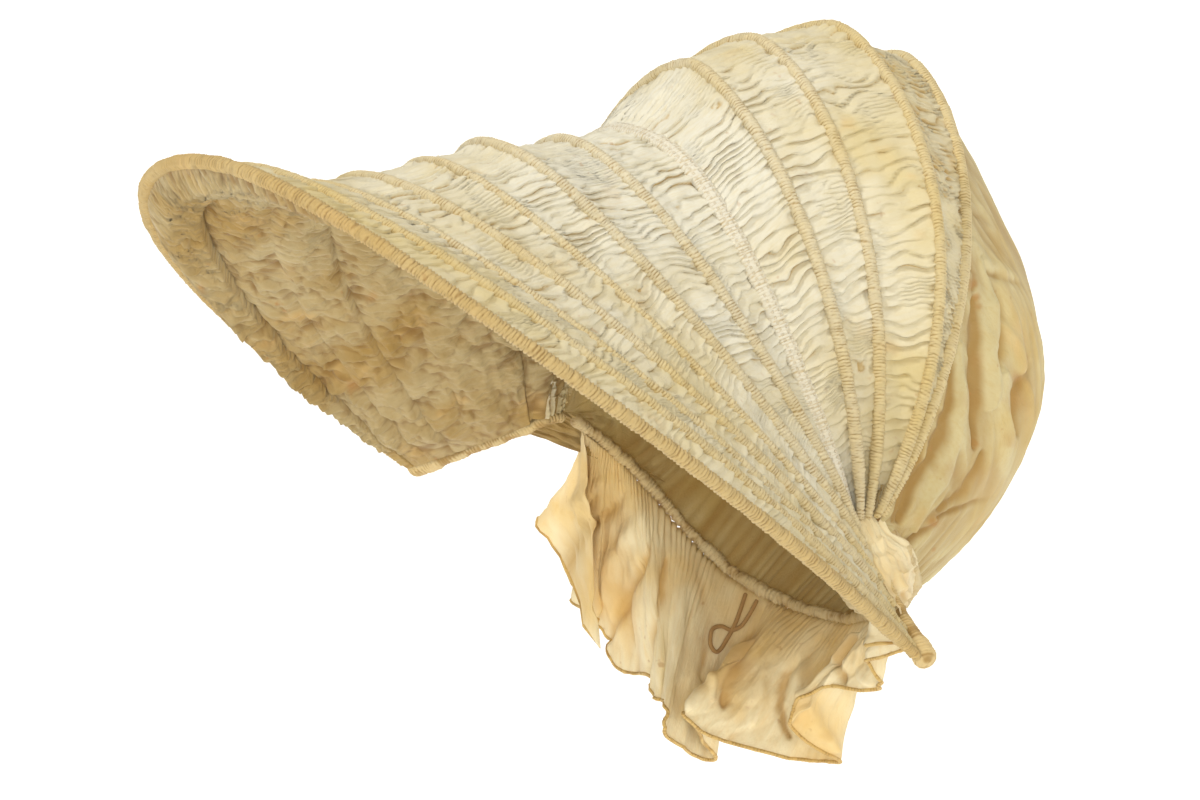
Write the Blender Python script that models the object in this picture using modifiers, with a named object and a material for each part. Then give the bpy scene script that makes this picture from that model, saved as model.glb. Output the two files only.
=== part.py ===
"""A calash: a folding hooped hood of ruched cream silk, worn over high dressed hair.

Metres, +Z up. The wearer faces -Y and the wearer's left is +X. The origin is the point
inside the crown where the top of the wearer's head touches the cloth.
Twelve cane hoops fan out from the jaw on both sides. Each sheet of cloth is a grid
that is laid over the hoops, so all sizes come from the hoop table below.
"""
import math

import bpy
import bmesh
from mathutils import Vector

MM = 0.001

# The middle of the line between the two jaw points that the hoops fan out from
HINGE = Vector((0.0, -36.0, -214.0))
JAW_HALF_WIDTH = 123.0
# The lower front tip of the left side flap, measured from HINGE
FLAP_TIP = Vector((199.5, -29.0, -40.0))

GAP = 0.35
RIB_RADIUS = 2.3
CLOTH_THICKNESS = 1.5
LINING_THICKNESS = 1.0
RIB_TO_CLOTH = 2.95
BINDING_RADIUS = 3.4
BINDING_SWELL = 4.6
CASING_RADIUS = 2.6
# The casing starts this many degrees round the neckline, behind the gathers at the jaw
CASING_START = 11.0
CORD_RADIUS = 1.2

# Ribs stop this far short of the flap edge and of the neckline
RIB_TRIM_FLAP = 5.4
RIB_TRIM_NECK = 9.0
CLOTH_TRIM = 3.6

HOOD_COLUMNS = 26

# One row a hoop, rim first. Angles in degrees, lengths in mm.
# lean: how far the hoop's plane is turned up from straight ahead
# reach: from the jaw line to the top of the hoop
# bulge: how much wider the hoop is halfway up
# square: exponent of the hoop's curve, 2 is an ellipse
# flap: where its foot is on the flap edge, 0 at the jaw and 1 at the tip
# back: how far its foot is behind the jaw point
# upturn: how far the top is bent up out of the hoop's plane
HOOP_COLUMNS = ("name", "lean", "reach", "bulge", "square", "flap", "back", "upturn")
HOOPS = [
    ("rib_01", 41.8, 355.0, 27.0, 1.82, 1.00, 0.0, 14.0),
    ("rib_02", 45.3, 331.0, 17.0, 1.80, 0.93, 0.0, 2.0),
    ("rib_03", 47.7, 295.0, 4.0, 1.84, 0.80, 0.0, 0.0),
    ("rib_04", 50.2, 273.0, -5.7, 2.00, 0.62, 0.0, 0.0),
    ("rib_05", 54.0, 255.0, -16.0, 1.90, 0.42, 0.0, 0.0),
    ("rib_06", 58.5, 234.0, -20.0, 2.15, 0.18, 0.0, 0.0),
    ("rib_07", 67.3, 205.0, -15.0, 1.98, 0.06, 0.0, 0.0),
    ("rib_08", 78.6, 189.0, -18.0, 2.35, 0.00, -2.5, 0.0),
    ("rib_09", 88.8, 214.0, 1.7, 1.52, 0.00, 1.0, 0.0),
    ("rib_10", 98.9, 223.0, 8.4, 1.51, 0.00, 4.5, 0.0),
    ("rib_11", 111.1, 235.0, 34.0, 1.13, 0.00, 8.0, 0.0),
    ("rib_12", 123.0, 234.0, 15.0, 1.34, 0.00, 11.5, 0.0),
]
# The crown's cloth goes on behind the last hoop, over these sections, down to the neck.
CROWN_SECTIONS = [
    ("crown_00", 123.45, 233.5, 15.0, 1.34, 0.00, 12.4, 0.0),
    ("crown_01", 129.5, 223.0, 13.5, 1.40, 0.00, 13.0, 0.0),
    ("crown_02", 139.0, 214.0, 12.0, 1.50, 0.00, 13.6, 0.0),
    ("crown_03", 155.0, 208.0, 8.0, 1.65, 0.00, 14.2, 0.0),
    ("crown_04", 172.0, 194.0, 5.0, 1.85, 0.00, 14.8, 0.0),
    ("crown_05", 190.0, 165.0, 0.0, 2.00, 0.00, 15.4, 0.0),
    ("crown_06", 209.0, 132.0, -4.0, 2.15, 0.00, 16.0, 0.0),
]
# The upward normal of the neckline's plane
NECK_NORMAL = Vector((0.0, 0.755, 0.656))
NECKLINE = ("neckline", 229.0, 108.0, 0.0, 2.10, 0.00, 16.5, 0.0)

# The neckline has stretched with wear. turn: degrees round it from the left jaw;
# sag: mm that it hangs below its plane
SAG_COLUMNS = ("turn", "sag")
NECK_SAG = [
    (0.0, 0.0),
    (20.0, -2.0),
    (40.0, -2.0),
    (60.0, 4.0),
    (80.0, 12.0),
    (100.0, 15.5),
    (118.0, 14.5),
    (132.0, 7.0),
    (142.0, 0.0),
    (153.0, -5.5),
    (166.0, -4.5),
    (180.0, 0.0),
]

# The neck frill's hem: one row a wave. turn: degrees round the neckline from the left
# jaw; out: mm from the neckline, minus is under the neck; drop: mm below the neckline.
FRILL_COLUMNS = ("turn", "out", "drop")
FRILL = [
    (12.0, 6.0, 48.0),
    (15.5, -8.0, 52.0),
    (19.0, -19.0, 54.0),
    (24.0, -13.0, 60.0),
    (31.0, -23.0, 59.0),
    (40.0, -42.0, 52.0),
    (48.0, -57.0, 62.0),
    (56.0, -44.0, 72.0),
    (64.0, -20.0, 83.0),
    (74.0, -34.0, 80.0),
    (84.0, -58.0, 70.0),
    (92.0, -77.0, 60.0),
    (99.0, -86.0, 50.0),
    (106.0, -52.0, 88.0),
    (113.0, -58.0, 92.0),
    (121.0, -84.0, 78.0),
    (128.0, -80.0, 70.0),
    (136.0, -58.0, 84.0),
    (144.0, -60.0, 92.0),
    (151.0, -38.0, 96.0),
    (154.0, -12.0, 108.0),
    (157.0, 2.0, 110.0),
    (159.5, 14.0, 100.0),
    (161.5, 12.0, 92.0),
    (163.5, 30.0, 91.0),
    (165.5, 26.0, 80.0),
    (168.0, 44.0, 58.0),
]
FRILL_COLUMN_COUNT = 66
FRILL_ROW_COUNT = 4

# The drawstring loop: degrees round the neckline, and how far down the frill
CORD_ROUTE = [
    (107.5, 0.03),
    (108.0, 0.12),
    (109.5, 0.22),
    (112.5, 0.29),
    (116.0, 0.31),
    (118.5, 0.37),
    (118.0, 0.46),
    (115.5, 0.48),
    (113.5, 0.38),
    (112.0, 0.25),
    (111.5, 0.13),
    (111.5, 0.03),
]
CORD_POINTS = 24
CORD_CLEARANCE = 1.0

COLOURS = {
    "silk": (0.78, 0.67, 0.42, 1.0),
    "rib silk": (0.80, 0.69, 0.45, 1.0),
    "lining silk": (0.62, 0.47, 0.26, 1.0),
    "crown silk": (0.80, 0.68, 0.44, 1.0),
    "frill silk": (0.80, 0.66, 0.38, 1.0),
    "binding silk": (0.66, 0.48, 0.24, 1.0),
    "casing silk": (0.72, 0.58, 0.34, 1.0),
    "cord": (0.38, 0.24, 0.10, 1.0),
}


def foot(flap, back):
    """The left foot of a hoop, in mm from HINGE."""
    jaw = Vector((JAW_HALF_WIDTH, 0.0, 0.0))
    return jaw.lerp(FLAP_TIP, flap) + Vector((0.0, back, 0.0))


def hoop_point(row, turn):
    """A point on a hoop, in mm from HINGE; turn runs from 0 at the left foot to pi at the right."""
    name, lean, reach, bulge, square, flap, back, upturn = row
    start = foot(flap, back)
    side = math.cos(turn)
    rise = math.sin(turn)
    angle = math.radians(lean)
    lift = upturn * rise ** 6
    across = math.copysign(abs(side) ** (2.0 / square), side)
    x = start.x * across + bulge * math.sin(2.0 * turn)
    y = start.y - reach * rise * math.cos(angle) + lift * math.sin(angle)
    z = start.z + reach * rise * math.sin(angle) + lift * math.cos(angle)
    return Vector((x, y, z))


def first_turn(row, trim):
    """The turn at which a hoop is trim mm long, measured from its foot."""
    return trim / math.hypot(row[2], 2.0 * row[3])


def hoop_line(row, columns, trim, end_trim=None):
    """Points along a hoop at even turns; end_trim moves only the two end points."""
    low = first_turn(row, trim)
    turns = [low + (math.pi - 2.0 * low) * i / columns for i in range(columns + 1)]
    if end_trim is not None:
        turns[0] = first_turn(row, end_trim)
        turns[-1] = math.pi - turns[0]
    return [hoop_point(row, turn) for turn in turns]


def outward(rows):
    """The outward normal at every point of a grid of points."""
    count = len(rows)
    across = len(rows[0])
    normals = []
    for j in range(count):
        line = []
        for i in range(across):
            along = rows[j][min(i + 1, across - 1)] - rows[j][max(i - 1, 0)]
            back = rows[min(j + 1, count - 1)][i] - rows[max(j - 1, 0)][i]
            line.append(along.cross(back).normalized())
        normals.append(line)
    middle = rows[count // 2][across // 2]
    inside = Vector((0.0, 0.0, 60.0))
    if normals[count // 2][across // 2].dot(middle - inside) < 0.0:
        normals = [[-n for n in line] for line in normals]
    return normals


def to_world(point):
    return (point + HINGE) * MM


def silk(name):
    colour = COLOURS[name]
    material = bpy.data.materials.new(name)
    material.use_nodes = True
    surface = material.node_tree.nodes["Principled BSDF"]
    surface.inputs["Base Color"].default_value = colour
    surface.inputs["Roughness"].default_value = 0.7
    surface.inputs["Metallic"].default_value = 0.0
    material.diffuse_color = colour
    return material


def add_object(name, data, colour):
    piece = bpy.data.objects.new(name, data)
    data.materials.append(silk(colour))
    bpy.data.collections["calash"].objects.link(piece)
    return piece


def cloth(name, rows, thickness, colour):
    """A sheet of cloth: a grid laid on rows of points, thickened to its inner side."""
    down = len(rows)
    across = len(rows[0])
    bm = bmesh.new()
    bmesh.ops.create_grid(bm, x_segments=across - 1, y_segments=down - 1, size=0.5)
    for vert in bm.verts:
        i = round((vert.co.x + 0.5) * (across - 1))
        j = round((vert.co.y + 0.5) * (down - 1))
        vert.co = to_world(rows[j][i])
    bm.normal_update()
    centre = rows[down // 2][across // 2]
    nearest = min(bm.faces, key=lambda face: (face.calc_center_median() - to_world(centre)).length)
    outer = outward(rows)[down // 2][across // 2]
    if nearest.normal.dot(outer) < 0.0:
        bmesh.ops.reverse_faces(bm, faces=bm.faces)
    mesh = bpy.data.meshes.new(name)
    bm.to_mesh(mesh)
    bm.free()
    mesh.shade_smooth()
    piece = add_object(name, mesh, colour)
    solid = piece.modifiers.new("thickness", "SOLIDIFY")
    solid.thickness = thickness * MM
    solid.offset = -1.0
    solid.use_even_offset = False
    return piece


def tube(name, points, radius, colour, sides=1):
    """A cord or covered cane along a line of points."""
    curve = bpy.data.curves.new(name, "CURVE")
    curve.dimensions = "3D"
    curve.bevel_depth = radius * MM
    curve.bevel_resolution = sides
    curve.use_fill_caps = True
    line = curve.splines.new("POLY")
    line.points.add(len(points) - 1)
    for slot, point in zip(line.points, points):
        slot.co = (*to_world(point), 1.0)
    line.use_smooth = True
    return add_object(name, curve, colour)


def smooth_between(table, at, column):
    """A value read from a table's column by a smooth curve through its rows."""
    rows = len(table)
    k = 0
    while k < rows - 2 and table[k + 1][0] < at:
        k += 1
    part = (at - table[k][0]) / (table[k + 1][0] - table[k][0])
    values = [table[min(max(k + d, 0), rows - 1)][column] for d in (-1, 0, 1, 2)]
    a, b, c, d = values
    return b + 0.5 * part * (c - a + part * (2 * a - 5 * b + 4 * c - d + part * (3 * (b - c) + d - a)))


def hood_surface(columns):
    """The hoop lines and one line halfway between each two hoops."""
    lines = [hoop_line(row, columns, CLOTH_TRIM) for row in HOOPS]
    rows = []
    for here, after in zip(lines[:-1], lines[1:]):
        rows.append(here)
        rows.append([a.lerp(b, 0.5) for a, b in zip(here, after)])
    rows.append(lines[-1])
    return rows


def inside_of(rows, depths):
    """The rows moved inward; depths gives the depth in mm for each row and column."""
    normals = outward(rows)
    moved = []
    for j, line in enumerate(rows):
        moved.append([point - normals[j][i] * depths(j, i) for i, point in enumerate(line)])
    return moved


def make_hood():
    rows = hood_surface(HOOD_COLUMNS)

    def depth(j, i):
        return RIB_TO_CLOTH + (0.9 if j % 2 else 0.0)

    cloth("hood_cloth", inside_of(rows, depth), CLOTH_THICKNESS, "silk")

    last = 14

    def lining_depth(j, i):
        rumple = 0.0
        if j % 2:
            rumple = 2.0 + 1.2 * math.sin(2.3 * i + 1.1 * j) * math.sin(0.9 * i - 0.7 * j)
        return RIB_TO_CLOTH + CLOTH_THICKNESS + GAP + 0.7 + rumple + (0.9 if j % 2 else 0.0)

    lining = inside_of(rows, lining_depth)[:last + 1]
    cloth("brim_lining", lining, LINING_THICKNESS, "lining silk")


def make_ribs():
    for row in HOOPS:
        trim = RIB_TRIM_FLAP if row[5] > 0.1 else RIB_TRIM_NECK
        tube(row[0], hoop_line(row, HOOD_COLUMNS, CLOTH_TRIM, trim), RIB_RADIUS, "rib silk")


def neck_sag(turn):
    return smooth_between(NECK_SAG, turn, 1)


def neck_point(turn):
    return hoop_point(NECKLINE, math.radians(turn)) - Vector((0.0, 0.0, neck_sag(turn)))


def make_crown():
    lines = []
    for row in CROWN_SECTIONS + [NECKLINE]:
        lines.append(hoop_line(row, HOOD_COLUMNS, CLOTH_TRIM))
    seam = (CASING_RADIUS + GAP + 0.45) * NECK_NORMAL
    low = math.degrees(first_turn(NECKLINE, CLOTH_TRIM))
    for i, point in enumerate(lines[-1]):
        turn = low + (180.0 - 2.0 * low) * i / HOOD_COLUMNS
        near = min(turn, 180.0 - turn)
        lines[-1][i] = point + seam * min(max((near - 1.0) / 5.5, 0.0), 1.0)
        lines[-1][i].z -= neck_sag(turn)
        lines[-2][i].z -= 0.35 * neck_sag(turn)
    rows = [lines[0]]
    for here, after in zip(lines[1:-1], lines[2:]):
        rows.append(here)
        rows.append([a.lerp(b, 0.5) for a, b in zip(here, after)])
    rows.append(lines[-1])

    def depth(j, i):
        down = j / (len(rows) - 1)
        fold = 1.6 * math.sin(1.9 * i + 0.35 * j) * math.sin(math.pi * down)
        side = min(1.0, 12.0 * math.sin(math.pi * i / HOOD_COLUMNS))
        side = max(side, 1.0 - 4.0 * down)
        return (RIB_TO_CLOTH * (1.0 - down) + fold) * side

    cloth("crown_cloth", inside_of(rows, depth), CLOTH_THICKNESS, "crown silk")


def frill_point(turn, down):
    """A point on the frill; turn goes round the neckline, down from 0 at the casing to 1 at the hem."""
    angle = math.radians(turn)
    away = Vector((math.cos(angle), math.sin(angle), 0.0))
    out = smooth_between(FRILL, turn, 1)
    out *= down ** (0.8 if out < 0.0 else 1.15)
    drop = (smooth_between(FRILL, turn, 2) - neck_sag(turn)) * down
    top = neck_point(turn) - NECK_NORMAL * (CASING_RADIUS + GAP + 0.15)
    return top + away * out - Vector((0.0, 0.0, drop))


def make_frill():
    first = FRILL[0][0]
    last = FRILL[-1][0]
    rows = []
    for j in range(FRILL_ROW_COUNT + 1):
        turns = [first + (last - first) * i / FRILL_COLUMN_COUNT for i in range(FRILL_COLUMN_COUNT + 1)]
        rows.append([frill_point(turn, j / FRILL_ROW_COUNT) for turn in turns])
    frill = cloth("neck_frill", rows, CLOTH_THICKNESS, "frill silk")
    frill.modifiers["thickness"].offset = 0.0


def make_neck():
    count = 28
    span = 180.0 - 2.0 * CASING_START
    points = [neck_point(CASING_START + span * i / count) for i in range(count + 1)]
    tube("neck_casing", points, CASING_RADIUS, "casing silk")


def make_bindings():
    """The rolled hem along each flap's lower edge, from its tip past the jaw to the neck casing."""
    for name, side in (("flap_binding_left", 1.0), ("flap_binding_right", -1.0)):
        points = []
        widths = []
        for i in range(17):
            at = 1.03 - 1.17 * i / 16.0
            point = foot(max(at, 0.0), 13.0 * max(-at, 0.0) / 0.14)
            swell = math.sin(math.pi * min(max((0.78 - at) / 0.78, 0.0), 1.0))
            point += Vector((-2.6, 0.4 + BINDING_SWELL * swell, -0.6 - 1.5 * swell))
            point.x *= side
            points.append(point)
            widths.append(1.0 + 0.4 * swell)
        hem = tube(name, points, BINDING_RADIUS, "binding silk", 2)
        for slot, width in zip(hem.data.splines[0].points, widths):
            slot.radius = width


def make_cord():
    """The drawstring's free loop: out of the casing, down over the inner face of the frill and back."""
    table = [(k, turn, down) for k, (turn, down) in enumerate(CORD_ROUTE)]
    points = []
    for i in range(CORD_POINTS):
        at = (len(table) - 1) * i / (CORD_POINTS - 1)
        turn = smooth_between(table, at, 1)
        down = smooth_between(table, at, 2)
        here = frill_point(turn, down)
        along = frill_point(turn + 0.5, down) - frill_point(turn - 0.5, down)
        fall = frill_point(turn, down + 0.02) - here
        normal = along.cross(fall).normalized()
        angle = math.radians(turn)
        if normal.dot(Vector((-math.cos(angle), -math.sin(angle), 1.0))) < 0.0:
            normal = -normal
        points.append(here + normal * (CORD_RADIUS + CLOTH_THICKNESS / 2.0 + CORD_CLEARANCE))
    tube("neck_cord", points, CORD_RADIUS, "cord", 2)


def main():
    for old in list(bpy.data.objects):
        bpy.data.objects.remove(old, do_unlink=True)
    parts = bpy.data.collections.new("calash")
    bpy.context.scene.collection.children.link(parts)
    make_hood()
    make_ribs()
    make_crown()
    make_neck()
    make_frill()
    make_bindings()
    make_cord()


main()
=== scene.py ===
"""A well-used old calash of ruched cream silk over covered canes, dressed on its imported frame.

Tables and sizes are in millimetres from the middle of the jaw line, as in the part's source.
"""

import math

import bmesh
import bpy
import numpy as np
from mathutils import Matrix, Vector


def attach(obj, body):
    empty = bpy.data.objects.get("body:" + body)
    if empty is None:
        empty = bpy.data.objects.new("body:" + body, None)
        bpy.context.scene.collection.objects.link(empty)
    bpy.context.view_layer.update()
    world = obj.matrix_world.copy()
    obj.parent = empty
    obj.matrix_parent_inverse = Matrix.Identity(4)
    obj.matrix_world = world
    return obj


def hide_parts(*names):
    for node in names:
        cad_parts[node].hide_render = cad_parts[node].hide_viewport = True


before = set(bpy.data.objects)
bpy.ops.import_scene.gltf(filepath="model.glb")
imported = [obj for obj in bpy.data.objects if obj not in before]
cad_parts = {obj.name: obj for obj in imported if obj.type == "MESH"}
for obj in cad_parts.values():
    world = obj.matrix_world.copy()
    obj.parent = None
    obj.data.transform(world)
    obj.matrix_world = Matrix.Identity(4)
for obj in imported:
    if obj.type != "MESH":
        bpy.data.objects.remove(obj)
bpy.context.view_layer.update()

MM = 0.001
JAW_LINE = np.array([0.0, -36.0, -214.0])
JAW = np.array([123.0, 0.0, 0.0])
FLAP_TIP = np.array([199.5, -29.0, -40.0])
NECK_NORMAL = np.array([0.0, 0.755, 0.656])
CASING_RADIUS = 2.6
CASING_START = 11.0

# One row a hoop, rim first: lean, reach, bulge, square, flap, back, upturn, cover, flat, sag, pleat
# cover: radius of the gathered silk round the cane; flat: how much wider than high it is
# sag, pleat: how far the cloth behind it sinks, and the spacing of its pleats
HOOPS = [
    (41.8, 355.0, 27.0, 1.82, 1.00, 0.0, 14.0, 3.0, 1.0, 0.6, 6.0),
    (45.3, 331.0, 17.0, 1.80, 0.93, 0.0, 2.0, 2.6, 1.0, 0.8, 6.5),
    (47.7, 295.0, 4.0, 1.84, 0.80, 0.0, 0.0, 2.1, 1.0, 1.4, 7.0),
    (50.2, 273.0, -5.7, 2.00, 0.62, 0.0, 0.0, 2.7, 1.0, 2.4, 5.6),
    (54.0, 255.0, -16.0, 1.90, 0.42, 0.0, 0.0, 1.9, 1.0, 2.6, 5.2),
    (58.5, 234.0, -20.0, 2.15, 0.18, 0.0, 0.0, 2.7, 1.0, 3.0, 5.2),
    (67.3, 205.0, -15.0, 1.98, 0.06, 0.0, 0.0, 2.7, 1.0, 2.4, 5.4),
    (78.6, 189.0, -18.0, 2.35, 0.00, -2.5, 0.0, 2.2, 1.9, 1.6, 4.8),
    (88.8, 214.0, 1.7, 1.52, 0.00, 1.0, 0.0, 2.8, 1.0, 1.4, 6.6),
    (98.9, 223.0, 8.4, 1.51, 0.00, 4.5, 0.0, 2.8, 1.0, 1.4, 7.6),
    (111.1, 235.0, 34.0, 1.13, 0.00, 8.0, 0.0, 2.6, 1.0, 2.6, 4.2),
    (123.0, 234.0, 15.0, 1.34, 0.00, 11.5, 0.0, 2.9, 1.0, 0.0, 5.0),
]
CROWN_SECTIONS = [
    (123.45, 233.5, 15.0, 1.34, 0.00, 12.4, 0.0),
    (129.5, 223.0, 13.5, 1.40, 0.00, 13.0, 0.0),
    (139.0, 214.0, 12.0, 1.50, 0.00, 13.6, 0.0),
    (155.0, 208.0, 8.0, 1.65, 0.00, 14.2, 0.0),
    (172.0, 194.0, 5.0, 1.85, 0.00, 14.8, 0.0),
    (190.0, 165.0, 0.0, 2.00, 0.00, 15.4, 0.0),
    (209.0, 132.0, -4.0, 2.15, 0.00, 16.0, 0.0),
    (229.0, 108.0, 0.0, 2.10, 0.00, 16.5, 0.0),
]
NECKLINE = CROWN_SECTIONS[-1]

# Degrees round the worn neckline, and how far it hangs below its plane there
NECK_SAG = [
    (0.0, 0.0), (20.0, -2.0), (40.0, -2.0), (60.0, 4.0), (80.0, 12.0), (100.0, 15.5),
    (118.0, 14.5), (132.0, 7.0), (142.0, 0.0), (153.0, -5.5), (166.0, -4.5), (180.0, 0.0),
]

# The frill's hem: degrees round the neckline, mm out from it, mm below it
FRILL = [
    (12.0, 6.0, 48.0), (15.5, -8.0, 52.0), (19.0, -19.0, 54.0), (24.0, -13.0, 60.0),
    (31.0, -23.0, 59.0), (40.0, -42.0, 52.0), (48.0, -57.0, 62.0), (56.0, -44.0, 72.0),
    (64.0, -20.0, 83.0), (74.0, -34.0, 80.0), (84.0, -58.0, 70.0), (92.0, -77.0, 60.0),
    (99.0, -86.0, 50.0), (106.0, -52.0, 88.0), (113.0, -58.0, 92.0), (121.0, -84.0, 78.0),
    (128.0, -80.0, 70.0), (136.0, -58.0, 84.0), (144.0, -60.0, 92.0), (151.0, -38.0, 96.0),
    (154.0, -12.0, 108.0), (157.0, 2.0, 110.0), (159.5, 14.0, 100.0), (161.5, 12.0, 92.0),
    (163.5, 30.0, 91.0), (165.5, 26.0, 80.0), (168.0, 44.0, 58.0),
]
# The cord's loop: degrees round the neckline, and how far down the frill
CORD_ROUTE = [
    (107.5, 0.03), (108.0, 0.11), (109.5, 0.19), (112.5, 0.245), (116.0, 0.26), (118.2, 0.31),
    (117.6, 0.385), (115.4, 0.40), (113.5, 0.32), (112.0, 0.215), (111.5, 0.12), (111.5, 0.03),
]

# The camera: where it looks from, and its lens on a 36 mm wide frame
CAMERA_AZIMUTH = math.radians(50.0)
CAMERA_ELEVATION = 0.29644
CAMERA_TARGET = Vector((0.32150, -0.36916, -0.03471))
CAMERA_DISTANCE = 2.2
CAMERA_LENS = 158.4
PIXELS_PER_LENS = 5280.0
PICTURE_MIDDLE = (600.0, 400.0)

# Sheets stop this far short of both ends of a hoop, as shares of its length
SHEET_SPAN = (0.004, 0.996)
# UV units a millimetre of the sheets' flat sizes
UV_UNIT = 0.01
CORD_RADIUS = 1.15
CORD_LIFT = 2.95
FRILL_THICKNESS = 0.0005
FLOOR_HEIGHT = -0.72


# ---- Camera ----

def camera_axes():
    """The camera's right, up and backward directions."""
    back = Vector((math.sin(CAMERA_AZIMUTH) * math.cos(CAMERA_ELEVATION),
                   -math.cos(CAMERA_AZIMUTH) * math.cos(CAMERA_ELEVATION),
                   math.sin(CAMERA_ELEVATION)))
    right = Vector((math.cos(CAMERA_AZIMUTH), math.sin(CAMERA_AZIMUTH), 0.0))
    return right, back.cross(right), back


def place_camera():
    right, up, back = camera_axes()
    lens = bpy.data.cameras.new("camera")
    lens.lens = CAMERA_LENS
    lens.sensor_width = 36.0
    lens.clip_end = 60.0
    camera = bpy.data.objects.new("camera", lens)
    bpy.context.scene.collection.objects.link(camera)
    eye = CAMERA_TARGET + back * CAMERA_DISTANCE
    camera.matrix_world = Matrix((
        (right.x, up.x, back.x, eye.x),
        (right.y, up.y, back.y, eye.y),
        (right.z, up.z, back.z, eye.z),
        (0.0, 0.0, 0.0, 1.0)))
    bpy.context.scene.camera = camera


def picture_place(points):
    """Where points on the cloth lie in the picture, in its pixels."""
    right, up, back = (np.array(axis) for axis in camera_axes())
    q = (points + JAW_LINE) * MM - np.array(CAMERA_TARGET)
    far = CAMERA_DISTANCE - q @ back
    return (PICTURE_MIDDLE[0] + PIXELS_PER_LENS * (q @ right) / far,
            PICTURE_MIDDLE[1] - PIXELS_PER_LENS * (q @ up) / far)


def marks(points, table):
    """Round stains at places in the picture: across, down, size in pixels, strength."""
    x, y = picture_place(points)
    stain = np.zeros(points.shape[:-1])
    for across, down, size, strength in table:
        near = np.hypot(x - across, y - down) * (1.0 + 0.45 * drift(x / 5.0, y / 5.0, 77))
        stain = np.maximum(stain, strength * np.exp(-(near / size) ** 2))
    return stain


def drawn_folds(points, table, seed):
    """Folds along lines in the picture: height in mm, width in pixels, and the line's points."""
    x, y = picture_place(points)
    x = x + 3.0 * drift(x / 22.0, y / 22.0, seed)
    y = y + 3.0 * drift(x / 22.0, y / 22.0, seed + 1)
    total = np.zeros(points.shape[:-1])
    for height, width, *line in table:
        near = np.full(total.shape, 1.0e9)
        for k in range(len(line) - 1):
            (ax, ay), (bx, by) = line[k], line[k + 1]
            long = (bx - ax) ** 2 + (by - ay) ** 2
            part = np.clip(((x - ax) * (bx - ax) + (y - ay) * (by - ay)) / long, 0.0, 1.0)
            from_end = (part + k) / (len(line) - 1)
            reach = np.hypot(x - ax - part * (bx - ax), y - ay - part * (by - ay))
            taper = 0.35 + 0.65 * np.sin(math.pi * from_end) ** 0.5 + 1e-6
            near = np.minimum(near, reach / taper)
        total += height * np.exp(-(near / width) ** 2)
    return total


# ---- Shapes ----

def drift(x, y, seed):
    """Smooth random values from -1 to 1 over a plane, with waves about one unit long."""
    x, y = np.broadcast_arrays(np.asarray(x, float), np.asarray(y, float))
    table = np.random.RandomState(seed).uniform(-1.0, 1.0, (128, 128))
    i = np.floor(x).astype(int)
    j = np.floor(y).astype(int)
    a = x - i
    b = y - j
    a = a * a * (3.0 - 2.0 * a)
    b = b * b * (3.0 - 2.0 * b)
    low = table[i % 128, j % 128] * (1.0 - a) + table[(i + 1) % 128, j % 128] * a
    high = table[i % 128, (j + 1) % 128] * (1.0 - a) + table[(i + 1) % 128, (j + 1) % 128] * a
    return low * (1.0 - b) + high * b


def crumple(x, y, seed):
    """Crumpled cloth over a plane, in puffs about one unit wide with sharp creases between them.

    The first is its height, 0 to 1; the second is 0 in the creases and 1 away from them.
    """
    x, y = np.broadcast_arrays(np.asarray(x, float), np.asarray(y, float))
    table = np.random.RandomState(seed).uniform(0.0, 1.0, (64, 64, 2))
    i = np.floor(x).astype(int)
    j = np.floor(y).astype(int)
    first = np.full(x.shape, 9.0)
    second = np.full(x.shape, 9.0)
    for a in (-1, 0, 1):
        for b in (-1, 0, 1):
            spot = table[(i + a) % 64, (j + b) % 64]
            away = np.hypot(x - i - a - spot[..., 0], y - j - b - spot[..., 1])
            second = np.minimum(second, np.maximum(first, away))
            first = np.minimum(first, away)
    return np.clip(1.05 - first, 0.0, 1.0), np.clip((second - first) * 1.9, 0.0, 1.0) ** 0.7


def ramp(x, low, high):
    """0 below low, 1 above high, smooth between."""
    t = np.clip((x - low) / (high - low), 0.0, 1.0)
    return t * t * (3.0 - 2.0 * t)


def pleats(turns, sharpness=1.0):
    """Ridges one turn apart, 0 in the creases and 1 on the crests."""
    return np.abs(np.sin(math.pi * turns)) ** sharpness


def spines(values, sharpness):
    """1 along the lines where values are 0, falling off to both sides."""
    return 1.0 - np.abs(values) ** sharpness


def smooth_table(table, at):
    """Rows of a table read at any place of its first column, by a smooth curve through them."""
    table = np.array(table, float)
    rows = len(table)
    k = np.clip(np.searchsorted(table[:, 0], at) - 1, 0, rows - 2)
    part = ((at - table[k, 0]) / (table[k + 1, 0] - table[k, 0]))[:, None]
    a, b, c, d = (table[np.clip(k + step, 0, rows - 1), 1:] for step in (-1, 0, 1, 2))
    return b + 0.5 * part * (c - a + part * (2 * a - 5 * b + 4 * c - d
                                             + part * (3 * (b - c) + d - a)))


def hoop(row, turn):
    """Points on a hoop; turn runs from 0 at the left foot to pi at the right."""
    lean, reach, bulge, square, flap, back, upturn = row[:7]
    start = JAW + (FLAP_TIP - JAW) * flap + np.array([0.0, back, 0.0])
    side = np.cos(turn)
    rise = np.sin(turn)
    angle = math.radians(lean)
    lift = upturn * rise ** 6
    x = start[0] * np.sign(side) * np.abs(side) ** (2.0 / square) + bulge * np.sin(2.0 * turn)
    y = start[1] - reach * rise * math.cos(angle) + lift * math.sin(angle)
    z = start[2] + reach * rise * math.sin(angle) + lift * math.cos(angle)
    return np.stack([x, y, z], axis=-1)


def even_hoop(row, share):
    """Points at shares of a hoop's length, and its length."""
    turns = np.linspace(0.0, math.pi, 1601)
    steps = np.linalg.norm(np.diff(hoop(row, turns), axis=0), axis=1)
    run = np.concatenate([[0.0], np.cumsum(steps)])
    return hoop(row, np.interp(share * run[-1], run, turns)), run[-1]


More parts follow.
